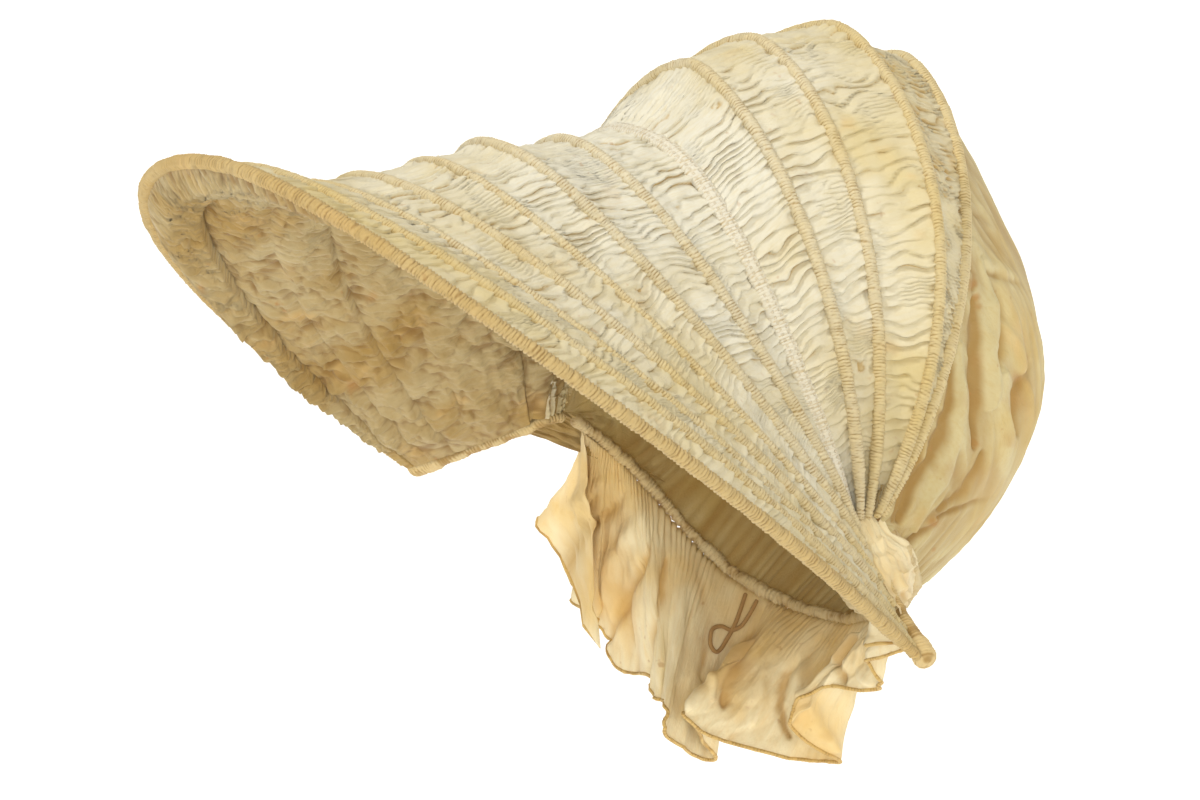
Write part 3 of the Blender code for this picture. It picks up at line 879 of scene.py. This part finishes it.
def neck_point(turn):
    points = hoop(NECKLINE, np.radians(turn))
    points[..., 2] -= neck_sag(turn)
    return points


def frill_base(turn, down):
    """Points on the frill: turn goes round the neckline, down from 0 at the casing to 1 at the hem.
    """
    turn, down = np.broadcast_arrays(np.asarray(turn, float), np.asarray(down, float))
    angle = np.radians(turn)
    level = np.zeros_like(angle)
    away = np.stack([np.cos(angle), np.sin(angle), level], axis=-1)
    table = smooth_table(FRILL, turn.ravel()).reshape(*turn.shape, 2)
    out = table[..., 0]
    out = out * down ** np.where(out < 0.0, 0.8, 1.15)
    drop = (table[..., 1] - neck_sag(turn)) * down
    fall = np.stack([level, level, drop], axis=-1)
    top = neck_point(turn) - NECK_NORMAL * (CASING_RADIUS + 0.5)
    return top + away * out[..., None] - fall


# The frill's folds: height in mm, width in pixels, then the line in the picture
FRILL_FOLDS = (
    (4.5, 8.0, (816, 622), (800, 655), (799, 692), (816, 722), (836, 748)),
    (-4.5, 5.5, (842, 622), (812, 648), (787, 672), (779, 704), (790, 738)),
    (-4.0, 8.0, (768, 606), (742, 650), (726, 704)),
    (3.5, 8.0, (792, 604), (766, 660), (756, 724)),
    (3.5, 7.0, (742, 618), (712, 665), (690, 708)),
    (-3.5, 4.5, (854, 636), (836, 658), (846, 684)),
    (3.0, 5.0, (868, 640), (856, 662), (870, 684)),
    (3.5, 8.0, (650, 498), (612, 560), (592, 632)),
    (-4.0, 6.0, (632, 486), (586, 530), (558, 574)),
    (-4.0, 6.0, (662, 520), (630, 590), (604, 644)),
    (3.5, 7.0, (604, 476), (566, 508), (544, 532)),
    (-3.5, 5.0, (668, 560), (655, 620), (648, 672)),
    (-3.0, 5.0, (700, 560), (708, 620), (700, 682)),
    (3.0, 5.0, (718, 575), (722, 630), (712, 700)),
)


def make_frill():
    """The thin neck frill: gathered at the casing, in soft folds down to its rolled hem."""
    columns, rows = 760, 54
    first, last = FRILL[0][0] - 4.0, FRILL[-1][0] + 3.0
    turn = np.linspace(first, last, columns)[None, :]
    down = (np.linspace(0.0, 1.0, rows) ** 0.9)[:, None]
    base = frill_base(np.clip(turn, 0.5, 179.5), down)
    turn, down = np.broadcast_arrays(turn, down)
    hem = base[rows // 3]
    run = np.concatenate([[0.0], np.cumsum(np.linalg.norm(np.diff(hem, axis=0), axis=1))])
    run = np.broadcast_to(run[None, :], down.shape)
    gather = pleats((run + 1.6 * drift(run / 7.0, down * 8.0, 401)) / 3.4, 0.8)
    folds = drift((run + 5.0 * drift(run / 30.0, down * 2.0, 402)) / 7.5, down * 1.2, 403)
    creased = (run + 4.0 * drift(run / 22.0, down * 2.5, 404)) / 11.0
    creases = np.abs(drift(creased, down * 1.7, 405))
    top = np.exp(-down / 0.16)
    waves = (np.sin(run / 5.2 + 2.6 * drift(run / 31.0, down * 0.8, 406))
             * drift(run / 40.0, 0.0, 407))
    normals = unit(np.cross(np.gradient(base, axis=1), np.gradient(base, axis=0)))
    back = np.array(camera_axes()[2])
    facing = np.clip(6.0 * (normals @ back), -1.0, 1.0)
    turned = drawn_folds(base, FRILL_FOLDS, 421) * np.clip(down * 3.0, 0.0, 1.0)
    puff, split = crumple((run + 6.0 * drift(run / 25.0, down * 2.0, 408)) / 16.0, down * 4.0, 409)
    crinkle = (run + 2.0 * drift(run / 12.0, down * 4.0, 410)) / 4.6
    crinkle = spines(drift(crinkle, down * 4.0, 412), 0.6)
    calm = ramp(turn, 101.0, 106.0) * ramp(-turn, -125.0, -120.0) * ramp(-down, -0.62, -0.5)
    lift = (1.0 - 0.85 * calm) * (
        1.8 * (gather - 0.5) * top + 2.4 * folds * down ** 0.5 + facing * turned
        + 2.2 * (creases ** 0.7 - 0.5) * down ** 0.7 + 3.6 * waves * down ** 1.6
        + 3.0 * (puff - 0.5) * down ** 0.5 + 1.1 * (crinkle - 0.5))
    points = base + normals * lift[..., None]
    # Painted shade: the fold value follows the folds, darker in their hollows and in the gathers at
    # the top; it is then raised all over and near the top.
    fold = np.clip(0.42 + 0.16 * facing * folds + 0.2 * (creases ** 0.7 - 0.4) + 0.11 * turned
                   + 0.12 * (split - 0.5) + 0.22 * (crinkle - 0.5), 0.0, 1.0)
    fold = (fold + 0.18 + 0.25 * top) * (1.0 - 0.5 * top * (1.0 - gather))
    stain = marks(points, FRILL_MARKS)
    piece = lay_cloth("neck_frill_silk", points, FRILL_SILK, fold, stain)
    thick = piece.modifiers.new("thickness", "SOLIDIFY")
    thick.thickness = FRILL_THICKNESS
    thick.offset = 0.0
    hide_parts("neck_frill")
    edge = points[-1]

    def ridge(run, angle):
        return 0.16 * pleats(run / 1.9) + 0.12 * drift(run / 3.0, angle, 411)

    roll = cover("frill_hem", edge, 0.95, HEM_SILK, 6, 1.0, ridge,
                 up=unit(np.gradient(points, axis=0)[-1]))


def make_casing():
    """The gathered casing round the neck opening."""
    turn = np.linspace(CASING_START - 7.0, 180.0 - CASING_START + 7.0, 900)
    path = neck_point(turn)

    def ridge(run, angle):
        tuck = pleats(run / 2.5 + 0.9 * drift(run / 4.0, np.cos(angle), 421), 1.1)
        loose = 0.5 + drift(run / 16.0, np.cos(angle) * 0.6, 423)
        return 0.8 * tuck + 0.8 * drift(run / 3.4, np.cos(angle) * 1.8, 422) + loose

    piece = cover("neck_casing_silk", path, 2.2, CASING_SILK, 10, 1.15, ridge,
                  up=np.broadcast_to(NECK_NORMAL, path.shape))
    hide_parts("neck_casing")


# The left jaw cloth's folds, drawn like the crown's
JAW_FOLDS = (
    (-2.6, 2.4, (866, 542), (872, 558), (884, 578)),
    (2.4, 4.0, (878, 540), (891, 560), (901, 590)),
    (-1.8, 2.0, (860, 538), (870, 572), (888, 602)),
    (-1.6, 2.6, (884, 548), (893, 570), (896, 592)),
)


def make_jaw_folds():
    """The pale cloth between each flap and the neck, gathered in at the jaw."""
    for name, side in (("jaw_fold_left", 1.0), ("jaw_fold_right", -1.0)):
        down = np.linspace(0.0, 1.0, 120)[:, None]
        across = np.linspace(0.0, 1.0, 56)[None, :]
        reach = 0.66 if side > 0.0 else 0.24
        front = JAW + (FLAP_TIP - JAW) * (reach * down) + np.array([0.6, -1.2, 0.4])
        front = front + down * np.array([2.4, -1.0, 1.4])
        behind = neck_point(1.0 + (42.0 if side > 0.0 else 38.0) * down[:, 0])
        behind = behind + np.array([1.4, 1.4, 4.4] if side > 0.0 else [1.0, 3.5, 6.0])
        behind = front + (behind - front) * (0.66 + 0.34 * ramp(down, 0.0, 0.35))
        tuck = np.array([-5.0, 1.5, 6.0]) if side > 0.0 else np.array([-4.5, 1.5, 9.0])
        under = ramp(-down, -0.15, 0.0) * tuck
        base = front[:, None] * (1.0 - across[..., None]) + behind[:, None] * across[..., None]
        bulge = np.sin(math.pi * across) ** 0.5 * np.sin(math.pi * np.clip(down, 0.0, 0.9)) ** 0.6
        base = base + bulge[..., None] * np.array([2.6, -1.0, 1.0]) + under[:, None]
        tucks = pleats(across * 7.0 + 0.6 * drift(down * 4.0, across * 3.0, 441), 0.8)
        puff, split = crumple(across * 3.2 + 0.5 * drift(down * 3.0, across, 443), down * 3.4, 442)
        rumple = spines(drift(across * 5.0 + down, down * 7.0, 444), 0.6)
        drawn = drawn_folds(base, JAW_FOLDS, 445) if side > 0.0 else 0.0
        lift = (1.6 * (tucks - 0.5) * (1.0 - down)
                + 3.0 * (puff - 0.5) * np.sin(math.pi * across) ** 0.5
                + 1.7 * (rumple - 0.5) + 1.2 * drawn)
        points = base + outward(base) * lift[..., None]
        points[..., 0] *= side
        # Painted shade: the fold value follows the tucks, puffs and folds, darker in their hollows.
        fold = np.clip(0.34 + 0.22 * tucks * (1.0 - down) + 0.2 * split + 0.25 * (rumple - 0.4)
                       + 0.14 * drawn, 0.0, 1.0)
        tone = np.full(fold.shape, 0.20 if side > 0.0 else 0.95)
        piece = lay_cloth(name, points, FRILL_SILK if side > 0.0 else LINING_SILK,
                          fold, None, tone)
        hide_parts("crown_cloth")


def make_bindings():
    """The turned hem along each flap's lower edge, from its tip past the jaw to the casing."""
    for name, side in (("flap_binding_left", 1.0), ("flap_binding_right", -1.0)):
        at = np.linspace(1.03, -0.14, 420)
        flap = np.clip(at, 0.0, None)[:, None]
        path = JAW + (FLAP_TIP - JAW) * flap
        path[:, 1] += 13.0 * np.clip(-at, 0.0, None) / 0.14
        swell = np.sin(math.pi * np.clip((0.78 - at) / 0.78, 0.0, 1.0))
        swell = swell * (1.0 if side > 0.0 else 0.2)
        bunch = ramp(at, 0.55, 0.95)
        path = path + np.stack([-2.6 + 2.6 * bunch, 0.4 + 4.6 * swell + 2.4 * bunch,
                                -0.6 - 1.5 * swell], axis=1)
        path[:, 0] *= side

        def ridge(run, angle):
            wrap = pleats(run / 2.1 + 0.7 * drift(run / 4.0, angle, 433))
            return (0.55 * drift(run / 9.0, np.cos(angle) + 0.3 * run / 9.0, 431) + 0.45 * wrap
                    + 0.30 * drift(run / 2.5, np.cos(angle) * 2.0, 432))

        slim = 0.5 * ramp(-at, -0.62, -0.5) if side > 0.0 else 0.0
        radius = 2.9 * (1.0 + 0.35 * swell + 0.85 * bunch) * (1.0 - slim)
        piece = cover(name + "_silk", path, radius, BINDING_SILK,
                      12, 1.0, ridge,
                      up=np.broadcast_to(np.array([0.0, 0.0, -1.0]), path.shape))
        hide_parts(name)


def make_cord():
    """The drawstring's free loop over the inner face of the frill."""
    table = [(k, turn, down) for k, (turn, down) in enumerate(CORD_ROUTE)]
    at = np.linspace(0.0, len(table) - 1.0, 120)
    turn, down = smooth_table(table, at).T
    here = frill_base(turn, down)
    along = frill_base(turn + 0.5, down) - frill_base(turn - 0.5, down)
    fall = frill_base(turn, down + 0.02) - here
    normal = unit(np.cross(along, fall))
    angle = np.radians(turn)
    facing = -np.cos(angle) * normal[:, 0] - np.sin(angle) * normal[:, 1] + normal[:, 2]
    normal = np.where(facing[:, None] < 0.0, -normal, normal)
    path = here + normal * CORD_LIFT
    piece = cover("neck_cord_tape", path, CORD_RADIUS, TAPE, 8, 1.0, None, up=normal)
    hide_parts("neck_cord")
    ends = (path + JAW_LINE) * MM


# ---- Floor and light ----

def make_floor():
    bm = bmesh.new()
    bmesh.ops.create_grid(bm, x_segments=1, y_segments=1, size=20.0)
    mesh = bpy.data.meshes.new("floor")
    bm.to_mesh(mesh)
    bm.free()
    floor = bpy.data.objects.new("floor", mesh)
    floor.location.z = FLOOR_HEIGHT
    bpy.context.scene.collection.objects.link(floor)
    finish = Finish("pale floor")
    finish.surface.inputs["Emission Color"].default_value = (1.0, 1.0, 1.0, 1.0)
    finish.surface.inputs["Emission Strength"].default_value = 0.30
    mesh.materials.append(finish.use(Base_Color=(0.92, 0.92, 0.92, 1.0), Roughness=0.9))


def make_lights():
    """Three soft lights, left, above and in front, and a pale room all round."""
    scene = bpy.context.scene
    scene.view_settings.view_transform = "Standard"
    world = bpy.data.worlds.new("studio")
    scene.world = world
    world.use_nodes = True
    background = world.node_tree.nodes["Background"]
    background.inputs["Color"].default_value = (1.0, 0.935, 0.80, 1.0)
    background.inputs["Strength"].default_value = 0.48
    for name, toward, energy, spread in (
            ("left light", (-0.22, -0.55, 0.80), 1.25, 8.0),
            ("high light", (0.45, 0.30, 0.84), 0.60, 14.0),
            ("front light", (0.72, -0.62, 0.31), 1.05, 24.0)):
        light = bpy.data.lights.new(name, "SUN")
        light.energy = energy
        light.angle = math.radians(spread)
        light.color = (1.0, 0.985, 0.965)
        lamp = bpy.data.objects.new(name, light)
        scene.collection.objects.link(lamp)
        lamp.rotation_euler = (-Vector(toward)).to_track_quat("-Z", "Y").to_euler()


place_camera()
make_cord()
make_hood()
make_ribs()
make_lining()
make_crown()
make_frill()
make_casing()
make_jaw_folds()
make_bindings()
make_floor()
make_lights()
